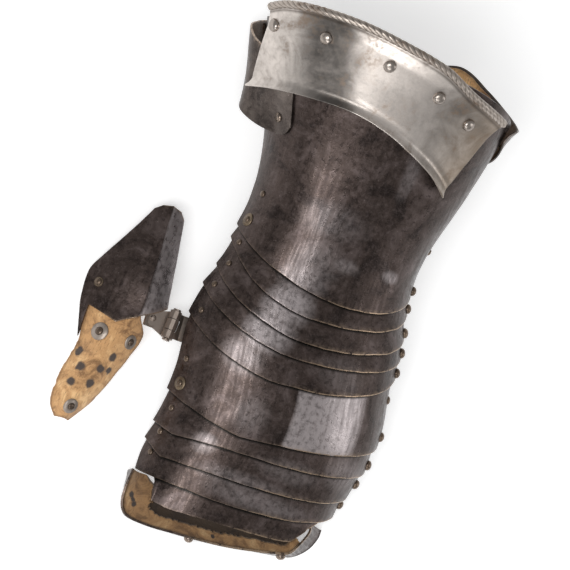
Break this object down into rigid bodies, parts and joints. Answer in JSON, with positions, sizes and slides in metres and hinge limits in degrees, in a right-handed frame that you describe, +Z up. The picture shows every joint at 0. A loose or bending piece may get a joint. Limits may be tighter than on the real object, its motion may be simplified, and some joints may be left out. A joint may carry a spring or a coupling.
{
  "type": "armoured gauntlet",
  "caption": "Armoured mitten gauntlet: flared cuff with a roped band, overlapping riveted wrist and finger lames, knuckle plate, hinged thumb plate and leather-lined edges.",
  "frame": {"origin": "centre of the bounding box at the height of the table the glove rests on", "axes": "+Z up from the table, +Y from the fingertips towards the cuff, -X towards the thumb"},
  "size_m": [0.1862, 0.2824, 0.1203],
  "materials": {
    "blackened": "dark oiled steel with brown patina, worn bright along the edges",
    "band_steel": "satin grey steel with brown stains",
    "inner_steel": "dull dark steel, less worn than the outer plates",
    "hinge_steel": "brownish worn steel with streaks",
    "leather": "old tan leather, fibrous and stained"
  },
  "bodies": {
    "cuff": {"cuff_plate": "blackened", "cuff_band": "band_steel", "inner_cuff_plate": "inner_steel", "inner_cuff_lining": "leather"},
    "wrist_lame_1": {"wrist_lame_1": "blackened"},
    "wrist_lame_2": {"wrist_lame_2": "blackened"},
    "wrist_lame_3": {"wrist_lame_3": "blackened"},
    "wrist_lame_4": {"wrist_lame_4": "blackened"},
    "knuckle": {"knuckle_plate": "blackened", "hinge_leaf_hand": "hinge_steel", "hinge_pin": "hinge_steel"},
    "finger_lame_1": {"finger_lame_1": "blackened"},
    "finger_lame_2": {"finger_lame_2": "blackened"},
    "finger_lame_3": {"finger_lame_3": "blackened"},
    "finger_lame_4": {"finger_lame_4": "blackened"},
    "fingertip": {"end_lame": "inner_steel", "end_lining": "leather"},
    "thumb": {"thumb_plate": "blackened", "thumb_leather": "leather", "hinge_leaf_thumb": "hinge_steel"}
  },
  "joints": [
    {"name": "wrist_lame_1_pivot", "type": "hinge", "parent": "cuff", "child": "wrist_lame_1", "pos_m": [0.01903, 0.02101, 0.03945], "axis": [0.997, -0.0756, 0.0165], "range_deg": [0, 6]},
    {"name": "wrist_lame_2_pivot", "type": "hinge", "parent": "wrist_lame_1", "child": "wrist_lame_2", "pos_m": [0.01908, 0.01011, 0.03762], "axis": [0.999, -0.0432, 0.0127], "range_deg": [0, 6]},
    {"name": "wrist_lame_3_pivot", "type": "hinge", "parent": "wrist_lame_2", "child": "wrist_lame_3", "pos_m": [0.01972, -0.00196, 0.03552], "axis": [0.999, -0.0441, 0.0015], "range_deg": [0, 6]},
    {"name": "wrist_lame_4_pivot", "type": "hinge", "parent": "wrist_lame_3", "child": "wrist_lame_4", "pos_m": [0.01922, -0.01328, 0.03349], "axis": [0.9998, -0.0207, -0.0024], "range_deg": [0, 6]},
    {"name": "knuckle_pivot", "type": "hinge", "parent": "wrist_lame_4", "child": "knuckle", "pos_m": [0.01901, -0.02587, 0.03118], "axis": [0.9999, 0.0165, 0.0022], "range_deg": [0, 6]},
    {"name": "finger_lame_1_pivot", "type": "hinge", "parent": "knuckle", "child": "finger_lame_1", "pos_m": [0.02261, -0.06196, 0.02375], "axis": [0.9979, 0.0629, 0.0162], "range_deg": [0, 9]},
    {"name": "finger_lame_2_pivot", "type": "hinge", "parent": "finger_lame_1", "child": "finger_lame_2", "pos_m": [0.02264, -0.07634, 0.0196], "axis": [0.9991, 0.0404, 0.0135], "range_deg": [0, 9]},
    {"name": "finger_lame_3_pivot", "type": "hinge", "parent": "finger_lame_2", "child": "finger_lame_3", "pos_m": [0.02179, -0.08821, 0.01465], "axis": [0.998, 0.0561, 0.0276], "range_deg": [0, 9]},
    {"name": "finger_lame_4_pivot", "type": "hinge", "parent": "finger_lame_3", "child": "finger_lame_4", "pos_m": [0.02014, -0.0998, 0.00954], "axis": [0.9985, 0.0512, 0.0179], "range_deg": [0, 9]},
    {"name": "fingertip_pivot", "type": "hinge", "parent": "finger_lame_4", "child": "fingertip", "pos_m": [0.00992, -0.10962, 0.01], "axis": [1, 0, 0], "range_deg": [-14, 8]},
    {"name": "thumb_hinge", "type": "hinge", "parent": "knuckle", "child": "thumb", "pos_m": [-0.04623, -0.03752, 0.017], "axis": [0.1061, 0.9944, 0], "range_deg": [-45, 25]}
  ]
}
